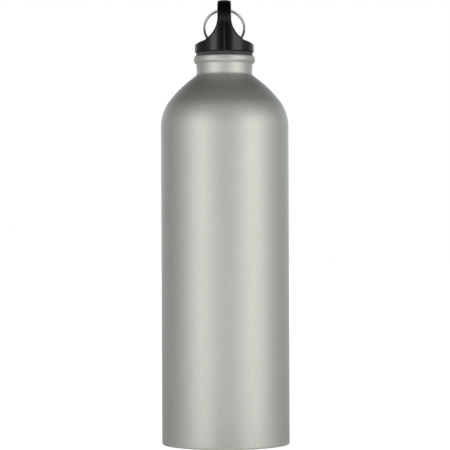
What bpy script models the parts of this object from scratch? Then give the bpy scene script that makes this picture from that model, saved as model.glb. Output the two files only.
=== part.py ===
# Steel drinking bottle of one litre: a drawn body with a welded base and a threaded
# neck insert, closed by a moulded screw cap whose arch handle carries a split ring.
# Metres, +Z up, origin at the centre of the foot. The front of the bottle faces -Y.

import math

import bmesh
import bpy

# Steel sheet of the body and base
BODY_RADIUS = 0.0400
BODY_HEIGHT = 0.1990
SHEET_THICKNESS = 0.0006
FOOT_CORNER_RADIUS = 0.0020
FOOT_FLANGE_WIDTH = 0.0025
BASE_RIM_WIDTH = 0.0028
BASE_KNEE_RADIUS = 0.0022
BASE_RISE = 0.0042

# Shoulder: two arcs and a cone, their radii in shares of the run from body to neck
SHOULDER_ARC_SHARE = 1.195
SHOULDER_EASY_SHARE = 3.23
SHOULDER_ARC_TURN = math.radians(38)
SHOULDER_EASY_TURN = math.radians(14)
SHOULDER_NECK_FILLET = 0.0026

# Neck, ending in a hem that is rolled out and down, with its end tucked in to the neck
NECK_RADIUS = 0.0174
NECK_HEIGHT = 0.0099
NECK_FLARE = math.radians(2.5)
HEM_FOLD_RADIUS = 0.0005
HEM_FOLD_TURN = math.radians(80)
HEM_CROWN_RADIUS = 0.0010
HEM_DROP = 0.0017
HEM_CURL_RADIUS = 0.0013
HEM_CURL_TURN = math.radians(36)
HEM_TUCK = 0.0011

# Threaded insert inside the neck
INSERT_WALL = 0.0012
INSERT_HEIGHT = 0.0110
INSERT_CHAMFER = 0.0004
INSERT_BELOW_MOUTH = 0.0010

# Sealing ring between hem and cap
GASKET_THICKNESS = 0.0016
GASKET_WIDTH = 0.0025
GASKET_EDGE_RADIUS = 0.0005

# Cap: skirt, plug, and a dome that two side scoops and a loop turn into an arch
CAP_OVERHANG = 0.0005
CAP_HEIGHT = 0.0330
SKIRT_HEIGHT = 0.0052
SKIRT_DRAFT = 0.0002
SKIRT_EDGE_RADIUS = 0.0004
PLUG_LENGTH = 0.0150
PLUG_WALL = 0.0026
PLUG_CHAMFER = 0.0006
CAP_WEB = 0.0026
STRAP_WIDTH = 0.0087
SCOOP_RADIUS = 0.01515
SCOOP_SWEEP = math.radians(70)
SCOOP_RIM_LAND = 0.0005
LOOP_WALL = 0.0048
POCKET_SIDE_ROOM = 0.00025
POCKET_LEDGE = 0.0008
POCKET_SILL = 0.0004
POCKET_CORNER_RADIUS = 0.0050
POCKET_BELOW_RIM = 0.00215

# Split ring: two turns of flat wire, leaning back through the loop
RING_INNER_RADIUS = 0.01205
WIRE_WIDTH = 0.00125
WIRE_THICKNESS = 0.00075
WIRE_EDGE = 0.0002
TURN_GAP = 0.00045
CROSSOVER_TURN = math.radians(30)
RING_LEAN = math.radians(18)
RING_RISE = 0.0009
RING_FLOOR_CLEARANCE = 0.0003
RING_HANDLE_CLEARANCE = 0.0007

# Clearances and facets
SEAT_GAP = 0.0002
FIT_GAP = 0.0003
CUT_OVERRUN = 0.0020
MERGE_DISTANCE = 0.00002
BODY_STEPS = 60
CAP_STEPS = 60
RING_STEPS = 24
CHORD_ERROR = 0.00004

COLLECTION_NAME = "steel_bottle"

STEEL = ("satin_steel", (0.62, 0.62, 0.59, 1.0), 0.36, 1.0)
INSERT_STEEL = ("insert_steel", (0.58, 0.58, 0.57, 1.0), 0.30, 1.0)
BLACK_PLASTIC = ("black_plastic", (0.012, 0.012, 0.013, 1.0), 0.28, 0.0)
SILICONE = ("grey_silicone", (0.17, 0.19, 0.20, 1.0), 0.45, 0.0)
RING_STEEL = ("ring_steel", (0.66, 0.65, 0.63, 1.0), 0.18, 1.0)


def bend_steps(radius, turn):
    # Few enough facets that none strays from its arc by more than the chord error.
    return max(2, math.ceil(turn / (2 * math.acos(1 - CHORD_ERROR / radius))))


class SheetPath:
    # A line drawn in the (radius, height) plane by straight runs and bends.
    # Each point keeps its heading, so the sheet's two faces can be set off from it.
    def __init__(self, radius, height, heading):
        self.points = [(radius, height, heading)]

    def run(self, length):
        radius, height, heading = self.points[-1]
        self.points.append((radius + length * math.cos(heading),
                            height + length * math.sin(heading), heading))

    def bend(self, bend_radius, turn, left=True):
        radius, height, heading = self.points[-1]
        side = 1 if left else -1
        centre_r = radius - side * bend_radius * math.sin(heading)
        centre_z = height + side * bend_radius * math.cos(heading)
        steps = bend_steps(bend_radius, turn)
        for step in range(1, steps + 1):
            angle = heading + side * turn * step / steps
            self.points.append((centre_r + side * bend_radius * math.sin(angle),
                                centre_z - side * bend_radius * math.cos(angle), angle))

    def face(self, offset):
        # Positive offset lies to the right of the heading: outside, where it climbs.
        return [(radius + offset * math.sin(heading), height - offset * math.cos(heading))
                for radius, height, heading in self.points]


def arc_points(centre_x, centre_y, radius, start, end):
    steps = bend_steps(radius, abs(end - start))
    angles = [start + (end - start) * step / steps for step in range(steps + 1)]
    return [(centre_x + radius * math.cos(angle), centre_y + radius * math.sin(angle))
            for angle in angles]


def body_path():
    # Mid-line of the sheet, from the foot flange up to the end of the hem.
    half = SHEET_THICKNESS / 2
    corner = FOOT_CORNER_RADIUS - half
    run_in = BODY_RADIUS - NECK_RADIUS
    arc_radius = SHOULDER_ARC_SHARE * run_in - half
    easy_radius = SHOULDER_EASY_SHARE * run_in - half
    fillet_radius = SHOULDER_NECK_FILLET + half
    slope = SHOULDER_ARC_TURN + SHOULDER_EASY_TURN

    path = SheetPath(BODY_RADIUS - FOOT_CORNER_RADIUS - FOOT_FLANGE_WIDTH, half, 0)
    path.run(FOOT_FLANGE_WIDTH)
    path.bend(corner, math.pi / 2)
    path.run(BODY_HEIGHT - FOOT_CORNER_RADIUS)
    path.bend(arc_radius, SHOULDER_ARC_TURN)
    path.bend(easy_radius, SHOULDER_EASY_TURN)
    fillet_run = fillet_radius * (1 - math.cos(slope))
    cone_run = path.points[-1][0] - (NECK_RADIUS - half) - fillet_run
    path.run(cone_run / math.sin(slope))
    path.bend(fillet_radius, slope + NECK_FLARE, left=False)
    path.run(NECK_HEIGHT)
    path.bend(HEM_FOLD_RADIUS, HEM_FOLD_TURN, left=False)
    path.bend(HEM_CROWN_RADIUS, math.pi - NECK_FLARE - HEM_FOLD_TURN, left=False)
    path.run(HEM_DROP)
    path.bend(HEM_CURL_RADIUS, HEM_CURL_TURN, left=False)
    path.run(HEM_TUCK)
    return path


BODY_PATH = body_path()
MOUTH_HEIGHT = max(height for _, height, _ in BODY_PATH.points) + SHEET_THICKNESS / 2
INSERT_RADIUS = NECK_RADIUS - SHEET_THICKNESS - FIT_GAP
BORE_RADIUS = INSERT_RADIUS - INSERT_WALL
PLUG_RADIUS = BORE_RADIUS - FIT_GAP
GASKET_BORE = PLUG_RADIUS + FIT_GAP
GASKET_RADIUS = GASKET_BORE + GASKET_WIDTH
CAP_RADIUS = GASKET_RADIUS + CAP_OVERHANG
SEAT_HEIGHT = MOUTH_HEIGHT + SEAT_GAP + GASKET_THICKNESS + SEAT_GAP
CAP_TOP = SEAT_HEIGHT + CAP_HEIGHT
SKIRT_TOP = SEAT_HEIGHT + SKIRT_HEIGHT
DOME_CENTRE = CAP_TOP - CAP_RADIUS
LOOP_RADIUS = CAP_RADIUS - LOOP_WALL
POCKET_FLOOR = SKIRT_TOP - POCKET_BELOW_RIM
POCKET_HALF_WIDTH = RING_INNER_RADIUS + POCKET_SIDE_ROOM
SCOOP_SLOPE = math.tan(math.pi / 2 - SCOOP_SWEEP)
SCOOP_RIM = CAP_RADIUS - SCOOP_RIM_LAND
LOOP_SILL = SKIRT_TOP + (SCOOP_RIM - POCKET_HALF_WIDTH - POCKET_SILL) * SCOOP_SLOPE
RING_RADIUS = RING_INNER_RADIUS + WIRE_WIDTH / 2
RING_DEPTH = 2 * WIRE_THICKNESS + TURN_GAP


def ring_foot():
    # The ring stands on the pocket's floor, or hangs above it where the arch is tall or the
    # ring small. Its top clears the back of the arch.
    foot_depth = WIRE_WIDTH / 2 + RING_DEPTH / 2 * math.sin(RING_LEAN)
    standing = POCKET_FLOOR + RING_FLOOR_CLEARANCE + foot_depth
    hanging = DOME_CENTRE + RING_RISE - RING_RADIUS * math.cos(RING_LEAN)
    height = max(standing, hanging)
    reach = RING_RADIUS + RING_INNER_RADIUS
    top_height = height + reach * math.cos(RING_LEAN) + RING_DEPTH / 2 * math.sin(RING_LEAN)
    top_setback = reach * math.sin(RING_LEAN) - RING_DEPTH / 2 * math.cos(RING_LEAN)
    clear_radius = CAP_RADIUS + RING_HANDLE_CLEARANCE
    setback = math.sqrt(clear_radius ** 2 - (top_height - DOME_CENTRE) ** 2) - top_setback
    return setback, height


RING_SETBACK, RING_HEIGHT = ring_foot()


def hinge_reach():
    # Along the leaning ring, from its lowest point to the middle of the arch it swings on.
    drop = RING_HEIGHT - DOME_CENTRE
    nearest = RING_SETBACK * math.sin(RING_LEAN) + drop * math.cos(RING_LEAN)
    arch_radius = LOOP_RADIUS + LOOP_WALL / 2
    half_chord = math.sqrt(nearest ** 2 + arch_radius ** 2 - RING_SETBACK ** 2 - drop ** 2)
    return half_chord - nearest


HINGE_REACH = hinge_reach()


def clear_scene():
    for existing in list(bpy.data.objects):
        bpy.data.objects.remove(existing)


def new_collection(name):
    collection = bpy.data.collections.new(name)
    bpy.context.scene.collection.children.link(collection)
    return collection


def make_material(name, colour, roughness, metallic):
    material = bpy.data.materials.new(name)
    material.use_nodes = True
    shader = material.node_tree.nodes["Principled BSDF"]
    shader.inputs["Base Color"].default_value = colour
    shader.inputs["Roughness"].default_value = roughness
    shader.inputs["Metallic"].default_value = metallic
    material.diffuse_color = colour
    return material


def turned(name, profile, steps, collection, closed=True):
    # A profile of (radius, height) points at +X, turned once round the Z axis.
    mesh = bpy.data.meshes.new(name)
    vertices = [(radius, 0, height) for radius, height in profile]
    edges = [(index, index + 1) for index in range(len(profile) - 1)]
    if closed:
        edges.append((len(profile) - 1, 0))
    mesh.from_pydata(vertices, edges, [])
    turned_object = bpy.data.objects.new(name, mesh)
    collection.objects.link(turned_object)
    screw = turned_object.modifiers.new("Turn", "SCREW")
    screw.steps = steps
    screw.render_steps = steps
    screw.use_merge_vertices = True
    screw.merge_threshold = MERGE_DISTANCE
    screw.use_smooth_shade = True
    return turned_object


def prism(name, outline, half_depth, rotation, collection):
    # A flat outline given its depth as a filled curve, and then made a mesh that can cut.
    curve = bpy.data.curves.new(name, "CURVE")
    curve.dimensions = "2D"
    curve.fill_mode = "BOTH"
    curve.extrude = half_depth
    spline = curve.splines.new("POLY")
    spline.points.add(len(outline) - 1)
    for point, (across, up) in zip(spline.points, outline):
        point.co = (across, up, 0, 1)
    spline.use_cyclic_u = True
    guide = bpy.data.objects.new(name + "_outline", curve)
    guide.rotation_euler = rotation
    collection.objects.link(guide)
    bpy.context.view_layer.update()
    evaluated = guide.evaluated_get(bpy.context.evaluated_depsgraph_get())
    mesh = bpy.data.meshes.new_from_object(evaluated)
    shape = bmesh.new()
    shape.from_mesh(mesh)
    bmesh.ops.remove_doubles(shape, verts=shape.verts, dist=MERGE_DISTANCE)
    bmesh.ops.recalc_face_normals(shape, faces=shape.faces)
    shape.to_mesh(mesh)
    shape.free()
    solid = bpy.data.objects.new(name, mesh)
    solid.matrix_world = guide.matrix_world
    collection.objects.link(solid)
    bpy.data.objects.remove(guide)
    return solid


def as_cutter(cutter):
    cutter.hide_render = True
    cutter.display_type = "WIRE"
    return cutter


def cut(target, cutter):
    boolean = target.modifiers.new("Cut " + cutter.name, "BOOLEAN")
    boolean.operation = "DIFFERENCE"
    boolean.solver = "EXACT"
    boolean.object = cutter


def paint(target, material_values):
    target.data.materials.append(make_material(target.name + "_" + material_values[0],
                                               *material_values[1:]))


def build_bottle_shell(parts):
    half = SHEET_THICKNESS / 2
    profile = list(reversed(BODY_PATH.face(half))) + BODY_PATH.face(-half)
    shell = turned("bottle_shell", profile, BODY_STEPS, parts)
    paint(shell, STEEL)


def build_base_disc(parts):
    # A dished disc: its flat rim lies inside the foot flange, and its middle is domed up.
    half = SHEET_THICKNESS / 2
    rim_radius = BODY_RADIUS - FOOT_CORNER_RADIUS
    path = SheetPath(rim_radius, SHEET_THICKNESS + FIT_GAP + half, math.pi)
    path.run(BASE_RIM_WIDTH)
    knee_height = BASE_KNEE_RADIUS / 2
    knee_turn = math.acos(1 - knee_height / (2 * BASE_KNEE_RADIUS))
    path.bend(BASE_KNEE_RADIUS, knee_turn, left=False)
    path.bend(BASE_KNEE_RADIUS, knee_turn / 2)
    knee_radius, knee_top, _ = path.points[-1]
    dome_rise = BASE_RISE - knee_height
    dome_radius = (knee_radius ** 2 + dome_rise ** 2) / (2 * dome_rise)
    dome_angle = math.asin(knee_radius / dome_radius)
    path.points.pop()
    steps = bend_steps(dome_radius, dome_angle)
    for step in range(steps + 1):
        angle = dome_angle * (1 - step / steps)
        path.points.append((dome_radius * math.sin(angle),
                            knee_top + dome_rise - dome_radius * (1 - math.cos(angle)),
                            math.pi - angle))
    upper = path.face(half)
    lower = path.face(-half)
    profile = [(0, upper[-1][1])] + upper[-2::-1] + lower[:-1] + [(0, lower[-1][1])]
    disc = turned("base_disc", profile, BODY_STEPS, parts, closed=False)
    paint(disc, STEEL)


def build_neck_insert(parts):
    top = MOUTH_HEIGHT - INSERT_BELOW_MOUTH
    bottom = top - INSERT_HEIGHT
    profile = [(INSERT_RADIUS, top), (INSERT_RADIUS, bottom),
               (BORE_RADIUS + INSERT_CHAMFER, bottom), (BORE_RADIUS, bottom + INSERT_CHAMFER),
               (BORE_RADIUS, top - INSERT_CHAMFER), (BORE_RADIUS + INSERT_CHAMFER, top)]
    insert = turned("neck_insert", profile, CAP_STEPS, parts)
    paint(insert, INSERT_STEEL)


def build_gasket(parts):
    # Flat inside against the plug, rounded outside where it shows.
    bottom = MOUTH_HEIGHT + SEAT_GAP
    top = bottom + GASKET_THICKNESS
    edge = GASKET_RADIUS - GASKET_EDGE_RADIUS
    profile = [(GASKET_BORE, top)]
    profile += arc_points(edge, top - GASKET_EDGE_RADIUS, GASKET_EDGE_RADIUS, math.pi / 2, 0)
    profile += arc_points(edge, bottom + GASKET_EDGE_RADIUS, GASKET_EDGE_RADIUS, 0, -math.pi / 2)
    profile += [(GASKET_BORE, bottom)]
    gasket = turned("gasket", profile, CAP_STEPS, parts)
    paint(gasket, SILICONE)


def cap_profile():
    # Dome, skirt and hollow plug in one line, from the top of the axis to its lower end.
    foot_radius = CAP_RADIUS + SKIRT_DRAFT
    plug_end = SEAT_HEIGHT - PLUG_LENGTH
    hollow_radius = PLUG_RADIUS - PLUG_WALL
    hollow_top = POCKET_FLOOR - CAP_WEB
    profile = arc_points(0, DOME_CENTRE, CAP_RADIUS, math.pi / 2, 0)
    profile[0] = (0, CAP_TOP)
    profile += [(CAP_RADIUS, SKIRT_TOP)]
    profile += arc_points(foot_radius - SKIRT_EDGE_RADIUS, SEAT_HEIGHT + SKIRT_EDGE_RADIUS,
                          SKIRT_EDGE_RADIUS, 0, -math.pi / 2)
    profile += [(PLUG_RADIUS, SEAT_HEIGHT), (PLUG_RADIUS, plug_end + PLUG_CHAMFER),
                (PLUG_RADIUS - PLUG_CHAMFER, plug_end), (hollow_radius, plug_end),
                (hollow_radius, hollow_top), (0, hollow_top)]
    return profile


def scoop_outline(side):
    # The concave flare beside the strap, and the slope from it to the skirt's rim.
    strap = STRAP_WIDTH / 2
    arc_end = strap + SCOOP_RADIUS * (1 - math.cos(SCOOP_SWEEP))
    slope_end = SKIRT_TOP + (SCOOP_RIM - arc_end) * SCOOP_SLOPE
    arc_height = slope_end + SCOOP_RADIUS * math.sin(SCOOP_SWEEP)
    outside = CAP_RADIUS + SKIRT_DRAFT + CUT_OVERRUN
    above = CAP_TOP + CUT_OVERRUN
    outline = [(strap, above)]
    outline += arc_points(strap + SCOOP_RADIUS, arc_height, SCOOP_RADIUS,
                          math.pi, math.pi + SCOOP_SWEEP)
    outline += [(SCOOP_RIM, SKIRT_TOP), (outside, SKIRT_TOP), (outside, above)]
    return [(side * across, up) for across, up in outline]


def pocket_outline():
    # A rounded oblong between the feet of the arch, seen from above.
    across = POCKET_HALF_WIDTH - POCKET_CORNER_RADIUS
    along = LOOP_RADIUS - POCKET_LEDGE - POCKET_CORNER_RADIUS
    outline = []
    quarter = math.pi / 2
    for turn, (side, end) in enumerate(((1, 1), (-1, 1), (-1, -1), (1, -1))):
        outline += arc_points(side * across, end * along, POCKET_CORNER_RADIUS,
                              turn * quarter, (turn + 1) * quarter)
    return outline


def build_cap(parts, cutters):
    cap = turned("cap", cap_profile(), CAP_STEPS, parts, closed=False)
    through = CAP_RADIUS + SKIRT_DRAFT + CUT_OVERRUN
    along_y = (math.pi / 2, 0, 0)
    along_x = (math.pi / 2, 0, math.pi / 2)
    for side, name in ((1, "scoop_right"), (-1, "scoop_left")):
        cut(cap, as_cutter(prism(name, scoop_outline(side), through, along_y, cutters)))
    loop = [(LOOP_RADIUS, LOOP_SILL)] + arc_points(0, DOME_CENTRE, LOOP_RADIUS, 0, math.pi)
    loop += [(-LOOP_RADIUS, LOOP_SILL)]
    cut(cap, as_cutter(prism("loop_opening", loop, through, along_x, cutters)))
    pocket_depth = DOME_CENTRE - POCKET_FLOOR
    pocket = prism("pocket", pocket_outline(), pocket_depth / 2, (0, 0, 0), cutters)
    pocket.location.z = POCKET_FLOOR + pocket_depth / 2
    cut(cap, as_cutter(pocket))
    paint(cap, BLACK_PLASTIC)


def ring_points():
    # Wire centre line in the ring's own plane: a full turn, a step across, a full turn.
    # The local origin is where the ring's plane meets the middle of the arch: its hinge.
    step = 2 * math.pi / RING_STEPS
    half_cross = round(CROSSOVER_TURN / 2 / step)
    first = half_cross
    last = 2 * RING_STEPS - half_cross
    layer = (WIRE_THICKNESS + TURN_GAP) / 2
    points = []
    for index in range(first, last + 1):
        from_middle = (index - RING_STEPS) / half_cross
        share = min(1, max(-1, from_middle))
        across = layer * share * (3 - share * share) / 2
        angle = index * step
        points.append((RING_RADIUS * math.sin(angle),
                       RING_RADIUS * (1 + math.cos(angle)) - HINGE_REACH, across))
    return points


def least_turn_gap(points):
    # Smallest space between the wire and itself, over points at least half a turn apart.
    least = None
    for index, near in enumerate(points):
        for far in points[index + RING_STEPS // 2:]:
            flat = math.hypot(far[0] - near[0], far[1] - near[1])
            deep = max(0, abs(far[2] - near[2]) - WIRE_THICKNESS)
            gap = math.hypot(max(0, flat - WIRE_WIDTH), deep)
            if least is None or gap < least:
                least = gap
    return least


def wire_section(cutters):
    # Flat wire with its corners taken off, as a closed curve that is swept along the ring.
    across = WIRE_WIDTH / 2
    up = WIRE_THICKNESS / 2
    corners = [(across, up - WIRE_EDGE), (across - WIRE_EDGE, up),
               (WIRE_EDGE - across, up), (-across, up - WIRE_EDGE),
               (-across, WIRE_EDGE - up), (WIRE_EDGE - across, -up),
               (across - WIRE_EDGE, -up), (across, WIRE_EDGE - up)]
    curve = bpy.data.curves.new("wire_section", "CURVE")
    spline = curve.splines.new("POLY")
    spline.points.add(len(corners) - 1)
    for point, (x, y) in zip(spline.points, reversed(corners)):
        point.co = (x, y, 0, 1)
    spline.use_cyclic_u = True
    section = bpy.data.objects.new("wire_section", curve)
    cutters.objects.link(section)
    return as_cutter(section)


def build_split_ring(parts, cutters):
    points = ring_points()
    curve = bpy.data.curves.new("split_ring", "CURVE")
    curve.dimensions = "3D"
    curve.twist_mode = "Z_UP"
    curve.bevel_mode = "OBJECT"
    curve.bevel_object = wire_section(cutters)
    curve.use_fill_caps = True
    spline = curve.splines.new("POLY")
    spline.points.add(len(points) - 1)
    for point, (x, y, z) in zip(spline.points, points):
        point.co = (x, y, z, 1)
    ring = bpy.data.objects.new("split_ring", curve)
    ring.location = (0, RING_SETBACK + HINGE_REACH * math.sin(RING_LEAN),
                     RING_HEIGHT + HINGE_REACH * math.cos(RING_LEAN))
    ring.rotation_euler = (math.pi / 2 - RING_LEAN, 0, 0)
    parts.objects.link(ring)
    paint(ring, RING_STEEL)
    print("split ring: least gap between its turns %.2f mm" % (least_turn_gap(points) * 1000))


def main():
    clear_scene()
    parts = new_collection(COLLECTION_NAME)
    cutters = new_collection("cutters")
    build_bottle_shell(parts)
    build_base_disc(parts)
    build_neck_insert(parts)
    build_gasket(parts)
    build_cap(parts, cutters)
    build_split_ring(parts, cutters)


main()
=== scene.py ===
import math

import bpy
import numpy as np
from mathutils import Matrix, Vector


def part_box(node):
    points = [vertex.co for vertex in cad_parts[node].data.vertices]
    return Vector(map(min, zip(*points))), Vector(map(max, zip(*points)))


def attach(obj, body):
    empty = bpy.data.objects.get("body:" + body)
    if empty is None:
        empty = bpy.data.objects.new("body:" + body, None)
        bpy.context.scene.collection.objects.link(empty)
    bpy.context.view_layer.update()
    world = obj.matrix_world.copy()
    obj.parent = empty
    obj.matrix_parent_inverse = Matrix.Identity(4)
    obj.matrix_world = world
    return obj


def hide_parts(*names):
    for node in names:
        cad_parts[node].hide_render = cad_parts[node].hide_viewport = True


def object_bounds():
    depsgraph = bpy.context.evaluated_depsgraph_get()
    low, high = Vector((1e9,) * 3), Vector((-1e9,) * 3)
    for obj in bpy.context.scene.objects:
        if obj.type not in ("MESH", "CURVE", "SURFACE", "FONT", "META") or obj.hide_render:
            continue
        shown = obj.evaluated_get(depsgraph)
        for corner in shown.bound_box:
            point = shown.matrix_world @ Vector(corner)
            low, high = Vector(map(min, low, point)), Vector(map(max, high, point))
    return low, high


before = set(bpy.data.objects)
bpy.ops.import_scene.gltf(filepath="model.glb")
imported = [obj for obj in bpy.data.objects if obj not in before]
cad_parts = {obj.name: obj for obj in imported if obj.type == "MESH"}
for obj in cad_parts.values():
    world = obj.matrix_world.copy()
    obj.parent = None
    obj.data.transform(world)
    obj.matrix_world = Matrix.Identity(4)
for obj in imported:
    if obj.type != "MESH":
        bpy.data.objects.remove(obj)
cadLow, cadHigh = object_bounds()
print("frame loaded: the packed bottle stands %.1f mm high" % (cadHigh.z * 1000))


# Helpers that the pieces share
def addPiece(name, mesh):
    piece = bpy.data.objects.new(name, mesh)
    bpy.context.scene.collection.objects.link(piece)
    return piece


def plainMesh(piece):
    # what the modifiers show becomes the mesh itself, and the modifiers go
    shown = piece.evaluated_get(bpy.context.evaluated_depsgraph_get())
    mesh = bpy.data.meshes.new_from_object(shown)
    old = piece.data
    piece.modifiers.clear()
    piece.data = mesh
    bpy.data.meshes.remove(old)
    mesh.name = piece.name


def finishPiece(piece, body, slot, *nodes):
    # the piece rides on its body, and stands for the CAD nodes that are named
    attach(piece, body)
    if nodes:
        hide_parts(*nodes)
    print("%s: %d faces" % (piece.name, len(piece.data.polygons)))


def smoothBy(piece, sharpDegrees):
    piece.data.shade_smooth()
    piece.data.set_sharp_from_angle(angle=math.radians(sharpDegrees))


def arcTo(centre, radius, start, end, degreesEach=10):
    # points on an arc in the (radius, height) plane, both ends included
    steps = max(2, math.ceil(abs(math.degrees(end - start)) / degreesEach))
    angles = [start + (end - start) * step / steps for step in range(steps + 1)]
    return [(centre[0] + radius * math.cos(a), centre[1] + radius * math.sin(a)) for a in angles]


def turnedPiece(name, profile, steps, material, onAxis=False):
    # a profile at +X, from its top down the outer side, turned once round the bottle's axis
    mesh = bpy.data.meshes.new(name)
    edges = [(i, i + 1) for i in range(len(profile) - 1)]
    if not onAxis:
        edges.append((len(profile) - 1, 0))
    mesh.from_pydata([(r, 0, z) for r, z in profile], edges, [])
    piece = addPiece(name, mesh)
    mesh.materials.append(material)
    screw = piece.modifiers.new("Turn", "SCREW")
    screw.steps = screw.render_steps = steps
    screw.use_merge_vertices = True
    screw.merge_threshold = 0.000005
    plainMesh(piece)
    return piece


# Sheet metal is drawn as a line that runs and bends, then given its thickness
def startLine(radius, height, heading):
    return [(radius, height, heading)]


def runOn(line, length, pieces=1):
    for _ in range(pieces):
        radius, height, heading = line[-1]
        line.append((radius + length / pieces * math.cos(heading),
                     height + length / pieces * math.sin(heading), heading))


def bendOn(line, bendRadius, turn, side=1, degreesEach=4):
    # side is 1 for a bend to the left of the heading, and -1 for one to the right
    radius, height, heading = line[-1]
    centre = (radius - side * bendRadius * math.sin(heading),
              height + side * bendRadius * math.cos(heading))
    steps = max(3, math.ceil(math.degrees(turn) / degreesEach))
    for step in range(1, steps + 1):
        angle = heading + side * turn * step / steps
        line.append((centre[0] + side * bendRadius * math.sin(angle),
                     centre[1] - side * bendRadius * math.cos(angle), angle))


def faceOf(line, offset):
    return [(r + offset * math.sin(a), z - offset * math.cos(a)) for r, z, a in line]


# A small vocabulary for node trees
def putNode(tree, kind, **settings):
    node = tree.nodes.new(kind)
    for key, value in settings.items():
        setattr(node, key, value)
    return node


def plug(tree, value, socket):
    # a socket is linked, and a plain number or vector is typed in
    if isinstance(value, bpy.types.NodeSocket):
        tree.links.new(value, socket)
    else:
        socket.default_value = value


def feedNode(tree, kind, inputs, **settings):
    # puts a node in, fills its inputs by name or by place, and hands back what it puts out
    node = putNode(tree, kind, **settings)
    for label, value in inputs.items():
        plug(tree, value, node.inputs[label])
    return node.outputs


def sums(tree, operation, *values):
    return feedNode(tree, "ShaderNodeMath", dict(enumerate(values)), operation=operation)[0]


def remap(tree, *values, easing="LINEAR"):
    # values are what to remap, its low and high, and the new low and high
    return feedNode(tree, "ShaderNodeMapRange", dict(enumerate(values)), interpolation_type=easing)[0]


def addShares(tree, value, *shares):
    # each (mask, share) raises the value by that share of its mask
    for mask, share in shares:
        value = sums(tree, "ADD", value, sums(tree, "MULTIPLY", mask, share))
    return value


def mixColour(tree, share, first, second):
    # inputs 6 and 7 and output 2 are the Mix node's colours
    return feedNode(tree, "ShaderNodeMix", {0: share, 6: first, 7: second}, data_type="RGBA")[2]


def noiseFrom(tree, place, size, detail, roughness=0.5, count=1):
    # blotches, of which that count fits in the size
    scale = sums(tree, "DIVIDE", count, size)
    return feedNode(tree, "ShaderNodeTexNoise", {"Vector": place, "Scale": scale, "Detail": detail,
                                                 "Roughness": roughness})[0]


def splitPlace(tree, place):
    return feedNode(tree, "ShaderNodeSeparateXYZ", {0: place})


def lengthOf(tree, *places, operation="LENGTH"):
    return feedNode(tree, "ShaderNodeVectorMath", dict(enumerate(places)), operation=operation)["Value"]


def openTree(name, kind, inputs, outputs):
    # inputs are (name, type, value), outputs are (name, type)
    tree = bpy.data.node_groups.new(name, kind)
    for label, socketType, value in inputs:
        socket = tree.interface.new_socket(label, in_out="INPUT", socket_type=socketType)
        if value is not None:
            socket.default_value = value
    for label, socketType in outputs:
        tree.interface.new_socket(label, in_out="OUTPUT", socket_type=socketType)
    return tree, putNode(tree, "NodeGroupInput").outputs, putNode(tree, "NodeGroupOutput").inputs


def closeTree(tree, shape, material, end):
    # every geometry tree ends in real geometry that carries its material
    real = feedNode(tree, "GeometryNodeRealizeInstances", {0: shape})[0]
    plug(tree, feedNode(tree, "GeometryNodeSetMaterial", {"Geometry": real, "Material": material})[0], end)


def useTree(piece, tree, values):
    # a modifier's inputs are set by the socket's identifier
    modifier = piece.modifiers.new(tree.name, "NODES")
    modifier.node_group = tree
    for item in tree.interface.items_tree:
        if item.item_type == "SOCKET" and item.in_out == "INPUT" and item.name in values:
            modifier[item.identifier] = values[item.name]
    plainMesh(piece)


# Effects that several finishes use: each is a group that puts out masks and heights
effects = {
    "grainDetail": 2.5,
    "grainRoughness": 0.6,
    "mottleDetail": 4,
    "mottleRoughness": 0.55,
    "mottleRange": (0.3, 0.7),
    "marksDetail": 3,
    "scratchTurn": (0.5, 0.3, 0.9),
    "scratchStretch": (1.0, 0.06, 1.0),
    "scratchCount": 4,
    "scratchDetail": 1,
    "scratchRange": (0.66, 0.72),
    "patchDetail": 5,
    "patchRange": (0.35, 0.65),
}


def makeGrain():
    # fine blasted grain, and the soft mottle that handling leaves
    tree, given, out = openTree("blastedGrain", "ShaderNodeTree", [
        ("Place", "NodeSocketVector", None),
        ("Grain Size", "NodeSocketFloat", 0.0004),
        ("Mottle Size", "NodeSocketFloat", 0.02)],
        [("Grain", "NodeSocketFloat"), ("Mottle", "NodeSocketFloat")])
    grain = noiseFrom(tree, given["Place"], given["Grain Size"], effects["grainDetail"],
                      effects["grainRoughness"])
    mottle = noiseFrom(tree, given["Place"], given["Mottle Size"], effects["mottleDetail"],
                       effects["mottleRoughness"])
    plug(tree, grain, out["Grain"])
    plug(tree, remap(tree, mottle, *effects["mottleRange"], 0, 1), out["Mottle"])
    return tree


def makeTurningMarks():
    # fine rings round the bottle's axis, as a lathe or a spinning tool leaves them
    tree, given, out = openTree("turningMarks", "ShaderNodeTree", [
        ("Place", "NodeSocketVector", None),
        ("Ring Pitch", "NodeSocketFloat", 0.0004)],
        [("Marks", "NodeSocketFloat")])
    x, y, z = splitPlace(tree, given["Place"])
    reach = sums(tree, "SQRT", sums(tree, "ADD", sums(tree, "POWER", x, 2), sums(tree, "POWER", y, 2)))
    along = sums(tree, "DIVIDE", sums(tree, "ADD", reach, z), given["Ring Pitch"])
    rings = feedNode(tree, "ShaderNodeTexNoise", {"W": along, "Scale": 1, "Detail": effects["marksDetail"]},
                     noise_dimensions="1D")[0]
    plug(tree, rings, out["Marks"])
    return tree


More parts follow.
